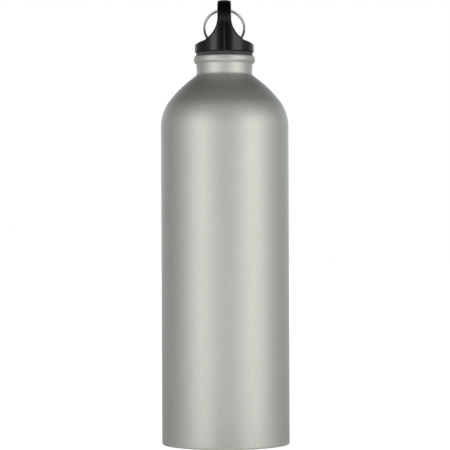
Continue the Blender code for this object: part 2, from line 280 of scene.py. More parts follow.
def makeScuffs():
    # thin scratches and rubbed patches, strongest along the edges that stick out
    tree, given, out = openTree("scuffs", "ShaderNodeTree", [
        ("Place", "NodeSocketVector", None),
        ("Edge", "NodeSocketFloat", 0.0),
        ("Scratch Size", "NodeSocketFloat", 0.004)],
        [("Scratch", "NodeSocketFloat"), ("Rubbed", "NodeSocketFloat")])
    stretched = feedNode(tree, "ShaderNodeMapping", {"Vector": given["Place"],
                                                     "Rotation": effects["scratchTurn"],
                                                     "Scale": effects["scratchStretch"]})[0]
    lines = noiseFrom(tree, stretched, given["Scratch Size"], effects["scratchDetail"],
                      count=effects["scratchCount"])
    patches = noiseFrom(tree, given["Place"], given["Scratch Size"], effects["patchDetail"])
    uneven = remap(tree, patches, *effects["patchRange"], 0, 1)
    plug(tree, remap(tree, lines, *effects["scratchRange"], 0, 1), out["Scratch"])
    plug(tree, sums(tree, "MULTIPLY", given["Edge"], uneven), out["Rubbed"])
    return tree


grainGroup = makeGrain()
marksGroup = makeTurningMarks()
scuffGroup = makeScuffs()
print("shared effects ready")


def startFinish(name, metallic):
    # a new material's tree and shader, and the place on the object to feed the groups
    material = bpy.data.materials.new(name)
    material.use_nodes = True
    tree = material.node_tree
    shader = tree.nodes["Principled BSDF"]
    shader.inputs["Metallic"].default_value = metallic
    place = putNode(tree, "ShaderNodeTexCoord").outputs["Object"]
    return material, tree, shader, place


def useGroup(tree, group, place, *values):
    # values are the group's inputs after the place, in their order
    return feedNode(tree, "ShaderNodeGroup", dict(enumerate((place,) + values)), node_tree=group)


def bumpFrom(tree, height, strength, depth, before=None):
    inputs = {"Strength": strength, "Distance": depth, "Height": height}
    if before is not None:
        inputs["Normal"] = before
    return feedNode(tree, "ShaderNodeBump", inputs)[0]


def dress(tree, shader, colour, rough, normal):
    for value, label in ((colour, "Base Color"), (rough, "Roughness"), (normal, "Normal")):
        plug(tree, value, shader.inputs[label])


# Body: one drawn sheet, from the flange under the foot to the hem round the mouth
body = {
    "radius": cadHigh.x,
    "straightHeight": 0.1990,
    "sheet": 0.0006,
    "footCorner": 0.0013,
    "footFlange": 0.0032,
    "shoulderArcShare": 1.195,
    "shoulderEasyShare": 3.23,
    "shoulderArcTurn": math.radians(38),
    "shoulderEasyTurn": math.radians(14),
    "neckFillet": 0.0026,
    "neckRadius": 0.0174,
    "neckHeight": 0.00995,
    "neckFlare": math.radians(2.5),
    "hemFold": 0.0004,
    "hemFoldTurn": math.radians(115),
    "hemCrown": 0.00131,
    "hemLean": math.radians(8.3),
    "hemDrop": 0.00124,
    "hemCurl": 0.00172,
    "hemCurlTurn": math.radians(44.6),
    "hemTuck": 0.00125,
    "steps": 256,
    "colour": (0.628, 0.633, 0.585, 1),
    "darkColour": (0.530, 0.535, 0.495, 1),
    "roughness": 0.545,
    "mottleRoughness": 0.01,
    "grainSize": 0.0005,
    "grainRange": (0.36, 0.64),
    "grainContrast": 0.95,
    "mottleContrast": 0.04,
    "grainBump": 0.35,
    "grainDepth": 0.00003,
}


def bodyFinish():
    material, tree, shader, place = startFinish("satinSteel", 1)
    grain = useGroup(tree, grainGroup, place, body["grainSize"])
    speck = remap(tree, grain["Grain"], *body["grainRange"], 0, body["grainContrast"])
    speck = addShares(tree, speck, (grain["Mottle"], body["mottleContrast"]))
    dress(tree, shader, mixColour(tree, speck, body["colour"], body["darkColour"]),
          addShares(tree, body["roughness"], (grain["Mottle"], body["mottleRoughness"])),
          bumpFrom(tree, grain["Grain"], body["grainBump"], body["grainDepth"]))
    return material


def buildBody():
    half = body["sheet"] / 2
    runIn = body["radius"] - body["neckRadius"]
    slope = body["shoulderArcTurn"] + body["shoulderEasyTurn"]
    fillet = body["neckFillet"] + half
    line = startLine(body["radius"] - body["footCorner"] - body["footFlange"], half, 0)
    runOn(line, body["footFlange"])
    bendOn(line, body["footCorner"] - half, math.pi / 2)
    runOn(line, body["straightHeight"] - body["footCorner"], pieces=24)
    bendOn(line, body["shoulderArcShare"] * runIn - half, body["shoulderArcTurn"], degreesEach=1.5)
    bendOn(line, body["shoulderEasyShare"] * runIn - half, body["shoulderEasyTurn"], degreesEach=1)
    filletRun = fillet * (1 - math.cos(slope))
    coneRun = line[-1][0] - (body["neckRadius"] - half) - filletRun
    runOn(line, coneRun / math.sin(slope), pieces=3)
    bendOn(line, fillet, slope + body["neckFlare"], side=-1)
    runOn(line, body["neckHeight"], pieces=3)
    bendOn(line, body["hemFold"], body["hemFoldTurn"], side=-1, degreesEach=8)
    crownTurn = math.pi - body["neckFlare"] - body["hemFoldTurn"] - body["hemLean"]
    bendOn(line, body["hemCrown"], crownTurn, side=-1, degreesEach=8)
    runOn(line, body["hemDrop"], pieces=2)
    bendOn(line, body["hemCurl"], body["hemCurlTurn"], side=-1)
    runOn(line, body["hemTuck"])
    profile = list(reversed(faceOf(line, half))) + faceOf(line, -half)
    piece = turnedPiece("steelBody", profile, body["steps"], bodyFinish())
    smoothBy(piece, 40)
    finishPiece(piece, "bottle", "satin_steel", "bottle_shell")


buildBody()


# Base: a dished disc that lies on the flange, with the weld that joins them
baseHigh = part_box("base_disc")[1]
base = {
    "radius": baseHigh.x,
    "underside": body["sheet"] + 0.00002,    # a hair's gap above the flange
    "top": baseHigh.z,
    "rimWidth": 0.0028,
    "knee": 0.0022,
    "domeSteps": 24,
    "steps": 180,
    "colour": (0.57, 0.57, 0.55, 1),
    "darkColour": (0.50, 0.50, 0.485, 1),
    "roughness": 0.40,
    "mottleRoughness": 0.1,
    "grainBump": 0.3,
    "ringPitch": 0.0005,
    "ringBump": 0.4,
    "ringDepth": 0.00004,
    "weldRadius": 0.00042,
    "weldRipples": 210,
    "weldPointsEach": 6,
    "weldRippleShare": 0.16,
    "weldSides": 10,
}


def baseFinish():
    material, tree, shader, place = startFinish("spunSteel", 1)
    grain = useGroup(tree, grainGroup, place, body["grainSize"])
    marks = useGroup(tree, marksGroup, place, base["ringPitch"])
    fine = bumpFrom(tree, grain["Grain"], base["grainBump"], body["grainDepth"])
    dress(tree, shader, mixColour(tree, marks["Marks"], base["colour"], base["darkColour"]),
          addShares(tree, base["roughness"], (grain["Mottle"], base["mottleRoughness"])),
          bumpFrom(tree, marks["Marks"], base["ringBump"], base["ringDepth"], fine))
    return material


def buildBase(material):
    half = body["sheet"] / 2
    line = startLine(base["radius"], base["underside"] + half, math.pi)
    runOn(line, base["rimWidth"], pieces=2)
    kneeHeight = base["knee"] / 2
    kneeTurn = math.acos(1 - kneeHeight / (2 * base["knee"]))
    bendOn(line, base["knee"], kneeTurn, side=-1)
    bendOn(line, base["knee"], kneeTurn / 2)
    kneeEnd, kneeTop, _ = line.pop()
    rise = base["top"] - half - kneeTop
    domeRadius = (kneeEnd ** 2 + rise ** 2) / (2 * rise)
    domeAngle = math.asin(kneeEnd / domeRadius)
    for step in range(base["domeSteps"] + 1):
        angle = domeAngle * (1 - step / base["domeSteps"])
        line.append((domeRadius * math.sin(angle),
                     kneeTop + rise - domeRadius * (1 - math.cos(angle)), math.pi - angle))
    upper = faceOf(line, half)
    lower = faceOf(line, -half)
    profile = [(0, upper[-1][1])] + upper[-2::-1] + lower[:-1] + [(0, lower[-1][1])]
    piece = turnedPiece("dishedBase", profile, base["steps"], material, onAxis=True)
    smoothBy(piece, 40)
    finishPiece(piece, "bottle", "satin_steel", "base_disc")


def makeWeldTree():
    # a bead swept round a circle, its thickness rippling once for each step of the weld
    tree, given, out = openTree("weldBead", "GeometryNodeTree", [
        ("Geometry", "NodeSocketGeometry", None),
        ("Circle Radius", "NodeSocketFloat", 0.035),
        ("Bead Radius", "NodeSocketFloat", 0.0005),
        ("Ripples", "NodeSocketInt", 200),
        ("Points Each", "NodeSocketInt", 6),
        ("Ripple Share", "NodeSocketFloat", 0.1),
        ("Sides", "NodeSocketInt", 10),
        ("Material", "NodeSocketMaterial", None)],
        [("Geometry", "NodeSocketGeometry")])
    points = sums(tree, "MULTIPLY", given["Ripples"], given["Points Each"])
    path = feedNode(tree, "GeometryNodeCurvePrimitiveCircle",
                    {"Resolution": points, "Radius": given["Circle Radius"]})["Curve"]
    index = putNode(tree, "GeometryNodeInputIndex").outputs[0]
    phase = sums(tree, "FRACT", sums(tree, "DIVIDE", index, given["Points Each"]))
    swell = sums(tree, "SUBTRACT", 1, sums(tree, "MULTIPLY", phase, given["Ripple Share"]))
    thick = feedNode(tree, "GeometryNodeSetCurveRadius", {"Curve": path, "Radius": swell})[0]
    section = feedNode(tree, "GeometryNodeCurvePrimitiveCircle",
                       {"Resolution": given["Sides"], "Radius": given["Bead Radius"]})["Curve"]
    radius = putNode(tree, "GeometryNodeInputRadius").outputs[0]
    sweep = feedNode(tree, "GeometryNodeCurveToMesh",
                     {"Curve": thick, "Profile Curve": section, "Scale": radius})[0]
    closeTree(tree, sweep, given["Material"], out["Geometry"])
    return tree


def buildWeld(material):
    piece = addPiece("baseWeld", bpy.data.meshes.new("baseWeld"))
    flangeEdge = body["radius"] - body["footCorner"] - body["footFlange"]
    useTree(piece, makeWeldTree(), {
        "Circle Radius": flangeEdge - base["weldRadius"] / 2,
        "Bead Radius": base["weldRadius"],
        "Ripples": base["weldRipples"],
        "Points Each": base["weldPointsEach"],
        "Ripple Share": base["weldRippleShare"],
        "Sides": base["weldSides"],
        "Material": material})
    piece.data.transform(Matrix.Translation((0, 0, base["underside"] - base["weldRadius"] / 4)))
    smoothBy(piece, 60)
    finishPiece(piece, "bottle", "satin_steel")


spunSteel = baseFinish()
buildBase(spunSteel)
buildWeld(spunSteel)


# Thread: one helix that the neck insert carries as a groove and the cap's plug as a ridge
capLow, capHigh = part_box("cap")
insertLow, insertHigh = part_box("neck_insert")
washerLow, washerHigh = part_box("gasket")
thread = {
    "pitch": 0.0040,
    "phaseHeight": insertLow.z,
    "fit": 0.0003,           # clearance that the bore keeps round the plug
    "ridgeHeight": 0.0008,
    "ridgeCrest": 0.0004,    # widths along the axis
    "ridgeBase": 0.0024,
    "grooveDepth": 0.00085,
    "grooveFloor": 0.0014,
    "grooveMouth": 0.0025,
}

# Insert: a machined ring in the neck
insert = {
    "radius": insertHigh.x,
    "wall": 0.0012,
    "chamfer": 0.0004,
    "rows": 84,
    "steps": 240,
    "colour": (0.56, 0.56, 0.55, 1),
    "darkColour": (0.47, 0.47, 0.46, 1),
    "roughness": 0.30,
    "markRoughness": 0.1,
    "ringPitch": 0.0002,
    "ringBump": 0.4,
    "ringDepth": 0.00002,
}
boreRadius = insert["radius"] - insert["wall"]
plugRadius = boreRadius - thread["fit"]


def makeThreadTree():
    # pushes the points of the bore outwards along a right-hand helix
    tree, given, out = openTree("screwThread", "GeometryNodeTree", [
        ("Geometry", "NodeSocketGeometry", None),
        ("Pitch", "NodeSocketFloat", 0.004),
        ("Phase Height", "NodeSocketFloat", 0.0),
        ("Depth", "NodeSocketFloat", 0.0008),
        ("Floor Width", "NodeSocketFloat", 0.001),
        ("Mouth Width", "NodeSocketFloat", 0.002),
        ("Bore Limit", "NodeSocketFloat", 0.016),
        ("Material", "NodeSocketMaterial", None)],
        [("Geometry", "NodeSocketGeometry")])
    x, y, z = splitPlace(tree, putNode(tree, "GeometryNodeInputPosition").outputs[0])
    turns = sums(tree, "DIVIDE", sums(tree, "ARCTAN2", y, x), 2 * math.pi)
    rise = sums(tree, "DIVIDE", sums(tree, "SUBTRACT", z, given["Phase Height"]), given["Pitch"])
    wrapped = sums(tree, "WRAP", sums(tree, "SUBTRACT", rise, turns), 0.5, -0.5)
    away = sums(tree, "MULTIPLY", sums(tree, "ABSOLUTE", wrapped), given["Pitch"])
    depth = remap(tree, away, sums(tree, "DIVIDE", given["Floor Width"], 2),
                  sums(tree, "DIVIDE", given["Mouth Width"], 2), given["Depth"], 0)
    flat = feedNode(tree, "ShaderNodeCombineXYZ", {0: x, 1: y})[0]
    outward = feedNode(tree, "ShaderNodeVectorMath", {0: flat}, operation="NORMALIZE")[0]
    push = feedNode(tree, "ShaderNodeVectorMath", {0: outward, "Scale": depth}, operation="SCALE")[0]
    inner = feedNode(tree, "FunctionNodeCompare", {0: lengthOf(tree, flat), 1: given["Bore Limit"]},
                     data_type="FLOAT", operation="LESS_THAN")[0]
    moved = feedNode(tree, "GeometryNodeSetPosition",
                     {"Geometry": given["Geometry"], "Selection": inner, "Offset": push})[0]
    closeTree(tree, moved, given["Material"], out["Geometry"])
    return tree


def insertFinish():
    material, tree, shader, place = startFinish("machinedSteel", 1)
    marks = useGroup(tree, marksGroup, place, insert["ringPitch"])
    dress(tree, shader, mixColour(tree, marks["Marks"], insert["colour"], insert["darkColour"]),
          addShares(tree, insert["roughness"], (marks["Marks"], insert["markRoughness"])),
          bumpFrom(tree, marks["Marks"], insert["ringBump"], insert["ringDepth"]))
    return material


def buildInsert():
    top, bottom, edge = insertHigh.z, insertLow.z, insert["chamfer"]
    low, high = bottom + edge, top - edge
    profile = [(insert["radius"], top), (insert["radius"], bottom), (boreRadius + edge, bottom)]
    profile += [(boreRadius, low + (high - low) * row / insert["rows"])
                for row in range(insert["rows"] + 1)]
    profile += [(boreRadius + edge, top)]
    material = insertFinish()
    piece = turnedPiece("threadedInsert", profile, insert["steps"], material)
    useTree(piece, makeThreadTree(), {
        "Pitch": thread["pitch"],
        "Phase Height": thread["phaseHeight"],
        "Depth": thread["grooveDepth"],
        "Floor Width": thread["grooveFloor"],
        "Mouth Width": thread["grooveMouth"],
        "Bore Limit": boreRadius + edge / 2,
        "Material": material})
    smoothBy(piece, 50)
    finishPiece(piece, "bottle", "insert_steel", "neck_insert")


buildInsert()


# Washer: the grey seal that shows between hem and cap
washer = {
    "radius": washerHigh.x,
    "bore": plugRadius + thread["fit"],
    "reach": 0.00017,        # past the solid, above and below, to touch both seats
    "edge": 0.0005,
    "waist": 0.00025,
    "steps": 180,
    "colour": (0.063, 0.071, 0.074, 1),
    "darkColour": (0.047, 0.053, 0.055, 1),
    "roughness": 0.42,
    "mottleRoughness": 0.12,
    "grainSize": 0.0006,
    "grainBump": 0.4,
    "grainDepth": 0.00002,
}


def washerFinish():
    material, tree, shader, place = startFinish("greySilicone", 0)
    grain = useGroup(tree, grainGroup, place, washer["grainSize"])
    dress(tree, shader, mixColour(tree, grain["Mottle"], washer["colour"], washer["darkColour"]),
          addShares(tree, washer["roughness"], (grain["Mottle"], washer["mottleRoughness"])),
          bumpFrom(tree, grain["Grain"], washer["grainBump"], washer["grainDepth"]))
    return material


def buildWasher():
    # rounded lips above and below a shallow waist
    top, bottom = washerHigh.z + washer["reach"], washerLow.z - washer["reach"]
    edge, bore = washer["edge"], washer["bore"]
    outer = washer["radius"] - edge
    quarter = math.pi / 2
    upper = arcTo((outer, top - edge), edge, quarter, -quarter / 3)
    lower = arcTo((outer, bottom + edge), edge, quarter / 3, -quarter)
    middle = (washer["radius"] - washer["waist"], (top + bottom) / 2)
    profile = [(bore, top)] + upper + [middle] + lower + [(bore, bottom)]
    piece = turnedPiece("sealWasher", profile, washer["steps"], washerFinish())
    smoothBy(piece, 50)
    finishPiece(piece, "gasket", "grey_silicone", "gasket")


buildWasher()


# Cap: a bullet-shaped blank, scooped on both sides, pierced by the loop and hollowed by a pocket.
# It is one solid given by a rule, so every edge can have its own moulded radius.
cap = {
    "radius": 0.0183,        # of the dome
    "flareHeight": 0.0115,   # from there down it widens to the box's width over this height
    "skirtHeight": 0.0052,
    "strapWidth": 0.0087,
    "scoopRadius": 0.01515,
    "scoopSweep": math.radians(70),
    "rimLand": 0.0005,
    "loopWall": 0.0048,
    "pocketWidth": 0.0246,
    "pocketLedge": 0.0008,
    "pocketCorner": 0.0050,
    "pocketBelowRim": 0.00215,
    "sillLand": 0.0004,      # flat that is left between the pocket and the foot of the slope
    "plugWall": 0.0026,
    "web": 0.0026,
    "edgeRadius": 0.00105,
    "rimRadius": 0.0005,
    "rimBlend": 0.0040,      # the height over which the rim's small radius grows to the strap's
    "loopEdgeRadius": 0.0008,
    "pocketEdgeRadius": 0.0003,
    "floorFillet": 0.0012,
    "skirtEdge": 0.0004,
    "seatGap": 0.0002,       # the washer's lip fills it
    "seamWidth": 0.00016,
    "seamHeight": 0.00006,
    "seamFading": (1.3, 1.0),    # shares of that height at the skirt and at the arch
    "gridStep": 0.00034,
    "seamStep": 0.00009,
    "seamSteps": 5,          # fine steps on each side of the seam
    "evenRounds": 3,
    "settleRounds": 4,
    "wearReach": 0.0004,     # how sharply an edge must curve to be rubbed, and how fast that shows
    "wearFrom": 0.97,
    "wearGain": 4,
    "colour": (0.0022, 0.0022, 0.0022, 1),
    "rubbedColour": (0.010, 0.010, 0.010, 1),
    "shine": 0.31,
    "edgeShine": 0.02,
    "edgeReach": (0.56, 0.80),   # how far the surface turns away where its shine sinks, and is low
    "roughness": 0.23,
    "mottleRoughness": 0.05,
    "rubbedRoughness": 0.12,
    "scratchRoughness": 0.03,
    "mottleSize": 0.006,
    "grainSize": 0.0009,
    "grainBump": 0.3,
    "grainDepth": 0.000006,
}
capDraft = capHigh.x - cap["radius"]
seatHeight = washerHigh.z + cap["seatGap"]
skirtTop = seatHeight + cap["skirtHeight"]
domeCentre = capHigh.z - cap["radius"]
pocketFloor = skirtTop - cap["pocketBelowRim"]
sillReach = cap["pocketWidth"] / 2 + cap["sillLand"]
loopSill = skirtTop + (cap["radius"] - cap["rimLand"] - sillReach) / math.tan(cap["scoopSweep"])


def roundMax(a, b, radius):
    # the space that two shapes share, its edge rounded to the radius
    corner = np.hypot(np.maximum(a + radius, 0), np.maximum(b + radius, 0))
    return np.minimum(np.maximum(a, b) + radius, 0) + corner - radius


def roundMin(a, b, radius):
    return -roundMax(-a, -b, radius)


def scoopRule(across, z):
    # upright beside the strap, then the concave flare, then the slope to the skirt's rim
    strap = cap["strapWidth"] / 2
    bend = cap["scoopRadius"]
    sweep = cap["scoopSweep"]
    slope = 1 / math.tan(sweep)
    arcEnd = strap + bend * (1 - math.cos(sweep))
    slopeTop = skirtTop + (cap["radius"] - cap["rimLand"] - arcEnd) * slope
    centreX = strap + bend
    centreZ = slopeTop + bend * math.sin(sweep)
    out = np.array((-math.cos(sweep), -math.sin(sweep)))     # from the centre to the arc's end
    dx, dz = across - centreX, z - centreZ
    arc = bend - np.hypot(dx, dz)
    line = -(dx - bend * out[0]) * out[0] - (dz - bend * out[1]) * out[1]
    pastArc = dx * math.sin(sweep) - dz * math.cos(sweep) > 0
    return np.where(z >= centreZ, across - strap, np.where(pastArc, line, arc))


def threadRidge(x, y, z):
    # how far the helical ridge stands out at each place, fading in and out at its ends
    pitch = thread["pitch"]
    rise = (z - thread["phaseHeight"]) / pitch - np.arctan2(y, x) / (2 * math.pi)
    away = np.abs(rise - np.round(rise)) * pitch
    crest, foot = thread["ridgeCrest"] / 2, thread["ridgeBase"] / 2
    section = np.clip((foot - away) / (foot - crest), 0, 1)
    section = section ** 2 * (3 - 2 * section)     # rounded at the crest and the foot
    low, high = insertLow.z + pitch / 4, insertHigh.z - pitch / 8
    ends = np.clip(np.minimum(z - low, high - z) / (pitch / 4), 0, 1)
    return thread["ridgeHeight"] * section * ends


def capRule(x, y, z):
    # negative inside the moulding, positive outside, in metres
    across = np.abs(x)
    reach = np.hypot(x, y)
    flare = capDraft * np.clip((domeCentre - z) / cap["flareHeight"], 0, 1)
    blank = np.hypot(reach, np.maximum(z - domeCentre, 0)) - cap["radius"] - flare
    shape = roundMax(blank, seatHeight - z, cap["skirtEdge"])
    up = np.clip((z - skirtTop - cap["rimLand"]) / cap["rimBlend"], 0, 1)
    edge = cap["rimRadius"] + (cap["edgeRadius"] - cap["rimRadius"]) * up
    shape = roundMax(shape, scoopRule(across, z), edge)
    loopRadius = cap["radius"] - cap["loopWall"]
    upright = roundMax(np.abs(y) - loopRadius, loopSill - z, cap["loopEdgeRadius"])
    loop = np.where(z >= domeCentre, np.hypot(y, z - domeCentre) - loopRadius, upright)
    shape = roundMax(shape, -loop, cap["loopEdgeRadius"])
    corner = cap["pocketCorner"]
    overX = across - cap["pocketWidth"] / 2 + corner
    overY = np.abs(y) - loopRadius + cap["pocketLedge"] + corner
    oblong = np.hypot(np.maximum(overX, 0), np.maximum(overY, 0))
    oblong = oblong + np.minimum(np.maximum(overX, overY), 0) - corner
    pocket = roundMax(oblong, pocketFloor - z, cap["floorFillet"])
    pocket = np.maximum(pocket, z - domeCentre)
    shape = roundMax(shape, -pocket, cap["pocketEdgeRadius"])
    seam = cap["seamHeight"] * np.interp(z, (skirtTop, domeCentre), cap["seamFading"])
    seam = seam * np.exp(-(x / cap["seamWidth"]) ** 2)
    shape = shape - seam * np.clip((z - seatHeight) / cap["skirtEdge"], 0, 1)
    stem = reach - plugRadius - threadRidge(x, y, z)
    stem = roundMax(stem, capLow.z - z, cap["skirtEdge"])
    stem = np.maximum(stem, z - seatHeight - cap["web"] / 2)
    shape = roundMin(shape, stem, cap["skirtEdge"])
    hollow = roundMax(reach - plugRadius + cap["plugWall"], z - pocketFloor + cap["web"],
                      cap["edgeRadius"])
    return roundMax(shape, -hollow, cap["skirtEdge"])


def ruleSlope(rule, points, reach=0.00001):
    # value and gradient of the rule at each point
    slopes = []
    for axis in range(3):
        nudge = np.zeros(3)
        nudge[axis] = reach
        slopes.append((rule(*(points + nudge).T) - rule(*(points - nudge).T)) / (2 * reach))
    return rule(*points.T), np.array(slopes).T


def evenSteps(low, high, step):
    return np.linspace(low, high, int(round((high - low) / step)) + 1)


def surfaceNet(rule, xs, ys, zs):
    # one point in each grid cell that the surface crosses, one quad round each crossed grid edge
    values = rule(xs[:, None, None], ys[None, :, None], zs[None, None, :])
    inside = values < 0
    corners = np.stack(np.meshgrid(xs, ys, zs, indexing="ij"), axis=-1)
    cells = tuple(n - 1 for n in values.shape)
    total = np.zeros(cells + (3,))
    count = np.zeros(cells)
    crossings = []
    for axis in range(3):
        near = tuple(slice(0, -1 if n == axis else None) for n in range(3))
        far = tuple(slice(1 if n == axis else 0, None) for n in range(3))
        a, b = values[near], values[far]
        crossed = inside[near] != inside[far]
        share = np.where(crossed, a / np.where(crossed, a - b, 1), 0)[..., None]
        place = corners[near] + share * (corners[far] - corners[near])
        for shift in np.ndindex(2, 2):
            part = tuple(slice(first, first + n) for first, n in zip(np.insert(shift, axis, 0), cells))
            hit = crossed[part]
            total += place[part] * hit[..., None]
            count += hit
        crossings.append((axis, crossed, inside[near]))
    used = count > 0
    index = np.full(cells, -1)
    index[used] = np.arange(used.sum())
    points = total[used] / count[used][:, None]
    quads = []
    for axis, crossed, startsInside in crossings:
        # the grid is wider than the shape, so each crossed edge has four cells round it
        u, v = (axis + 1) % 3, (axis + 2) % 3
        spots = np.argwhere(crossed)
        outward = startsInside[tuple(spots.T)]
        ring = []
        for du, dv in ((-1, -1), (0, -1), (0, 0), (-1, 0)):
            cell = spots.copy()
            cell[:, u] += du
            cell[:, v] += dv
            ring.append(index[tuple(cell.T)])
        ring = np.array(ring).T
        ring[~outward] = ring[~outward][:, ::-1]
        quads.append(ring)
    return points, np.concatenate(quads)


def relaxPoints(points, quads, rule, keepNear, keepAbove):
    # evens out the net away from the seam, then settles each point exactly on the surface
    movable = ((np.abs(points[:, 0]) > keepNear) | (points[:, 2] < keepAbove))[:, None]
    for turn in range(cap["evenRounds"] + cap["settleRounds"]):
        if turn < cap["evenRounds"]:
            total = np.zeros_like(points)
            count = np.zeros(len(points))
            for a, b in ((0, 1), (1, 2), (2, 3), (3, 0)):
                np.add.at(total, quads[:, a], points[quads[:, b]])
                np.add.at(total, quads[:, b], points[quads[:, a]])
                np.add.at(count, quads[:, a], 1)
                np.add.at(count, quads[:, b], 1)
            points = np.where(movable, points * 0.5 + total / count[:, None] * 0.5, points)
        value, slope = ruleSlope(rule, points)
        steep = np.maximum((slope ** 2).sum(1), 0.2)     # no long leap where the rule is flat
        points = points - slope * (value / steep)[:, None]
    return points


def capFinish():
    material, tree, shader, place = startFinish("blackPlastic", 0)
    edge = putNode(tree, "ShaderNodeAttribute", attribute_name="edge").outputs["Fac"]
    grain = useGroup(tree, grainGroup, place, cap["grainSize"], cap["mottleSize"])
    scuff = useGroup(tree, scuffGroup, place, edge)
    rough = addShares(tree, cap["roughness"], (grain["Mottle"], cap["mottleRoughness"]),
                      (scuff["Rubbed"], cap["rubbedRoughness"]),
                      (scuff["Scratch"], cap["scratchRoughness"]))
    dress(tree, shader, mixColour(tree, scuff["Rubbed"], cap["colour"], cap["rubbedColour"]), rough,
          bumpFrom(tree, grain["Grain"], cap["grainBump"], cap["grainDepth"]))
    # the deep black goes on to the very edge, where the light comes from behind
    facing = putNode(tree, "ShaderNodeLayerWeight").outputs["Facing"]
    plug(tree, remap(tree, facing, *cap["edgeReach"], cap["shine"], cap["edgeShine"]),
         shader.inputs["Specular IOR Level"])
    return material


def edgeWear(points, rule):
    # high where the surface curves away convexly: a point just below it is shallower than on a flat
    normal = ruleSlope(rule, points)[1]
    normal = normal / np.linalg.norm(normal, axis=1)[:, None]
    below = -rule(*(points - normal * cap["wearReach"]).T) / cap["wearReach"]
    return np.clip((cap["wearFrom"] - below) * cap["wearGain"], 0, 1), normal


def buildCap():
    margin = 3 * cap["gridStep"]
    side = cap["radius"] + capDraft + margin
    fineReach = cap["seamSteps"] * cap["seamStep"]
    fine = evenSteps(-fineReach, fineReach, cap["seamStep"])
    wide = evenSteps(fineReach, side, cap["gridStep"])[1:]
    xs = np.concatenate((-wide[::-1], fine, wide))
    ys = evenSteps(-side, side, cap["gridStep"])
    zs = evenSteps(capLow.z - margin, capHigh.z + margin, cap["gridStep"])
    points, quads = surfaceNet(capRule, xs, ys, zs)
    points = relaxPoints(points, quads, capRule, fineReach + cap["seamStep"], seatHeight)
    points[:, 2] = np.clip(points[:, 2], capLow.z, capHigh.z)
    mesh = bpy.data.meshes.new("mouldedCap")
    mesh.from_pydata(points.tolist(), [], quads.tolist())
    mesh.materials.append(capFinish())
    worn, normals = edgeWear(points, capRule)
    attribute = mesh.attributes.new("edge", "FLOAT", "POINT")
    attribute.data.foreach_set("value", worn.astype(np.float32))
    mesh.shade_smooth()
    mesh.normals_split_custom_set_from_vertices(normals.tolist())
    finishPiece(addPiece("mouldedCap", mesh), "cap", "black_plastic", "cap")


buildCap()


# Ring: flat spring wire in two turns, with the step where one turn passes to the other
ringLow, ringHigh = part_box("split_ring")
ring = {
    "wireWidth": 0.00136,
    "wireThickness": 0.00088,
    "wireEdge": 0.00036,
    "edgePoints": 5,
    "turnGap": 0.00014,
    "lean": math.radians(18),
    "crossover": math.radians(34),
    "points": 420,
    "colour": (0.88, 0.86, 0.83, 1),
    "darkColour": (0.78, 0.76, 0.72, 1),
    # colour of the painted shade on the lower ring and on the wire's inner side, standing in for the dark
    # cap they reflect
    "tarnish": (0.085, 0.078, 0.072, 1),
    "paintedShadeReach": (0.74, 0.42),    # shares of the ring's height between which the painted shade on the lower ring sets in
    "tarnishUneven": 0.003,
    "innerShade": 0.95,           # how dark the painted shade on the wire's inner side is
    "innerShadeReach": (0.12, 0.38),      # shares of the wire's width, inwards from its middle
    "roughness": 0.10,
    "rubbedRoughness": 0.14,
    "scratchRoughness": 0.1,
    "scratchSize": 0.002,
    "mottleSize": 0.004,
    "grainSize": 0.0008,
    "grainBump": 0.3,
    "grainDepth": 0.00001,
}
ringMiddle = (ringLow + ringHigh) / 2
wireMiddle = ringHigh.x - ring["wireWidth"] / 2


def ringFinish():
    material, tree, shader, place = startFinish("springSteel", 1)
    grain = useGroup(tree, grainGroup, place, ring["grainSize"], ring["mottleSize"])
    scuff = useGroup(tree, scuffGroup, place, 1, ring["scratchSize"])
    clean = mixColour(tree, grain["Mottle"], ring["colour"], ring["darkColour"])
    # painted shade: the ring gets darker towards its bottom, with a mottled border
    height = splitPlace(tree, place)[2]
    begin, full = [ringLow.z + (ringHigh.z - ringLow.z) * share for share in ring["paintedShadeReach"]]
    uneven = sums(tree, "MULTIPLY", sums(tree, "SUBTRACT", grain["Mottle"], 0.5),
                  ring["tarnishUneven"])
    paintedShadeMask = remap(tree, sums(tree, "ADD", height, uneven), begin, full, 0, 1)
    # painted shade on the wire's inner side, which faces the dark cap
    away = lengthOf(tree, place, ringMiddle, operation="DISTANCE")
    innerShadeEdges = [wireMiddle - ring["wireWidth"] * share for share in ring["innerShadeReach"]]
    inward = remap(tree, away, *innerShadeEdges, 0, ring["innerShade"])
    paintedShadeMask = sums(tree, "MAXIMUM", paintedShadeMask, inward)
    rough = addShares(tree, ring["roughness"], (scuff["Rubbed"], ring["rubbedRoughness"]),
                      (scuff["Scratch"], ring["scratchRoughness"]))
    dress(tree, shader, mixColour(tree, paintedShadeMask, clean, ring["tarnish"]), rough,
          bumpFrom(tree, grain["Grain"], ring["grainBump"], ring["grainDepth"]))
    return material


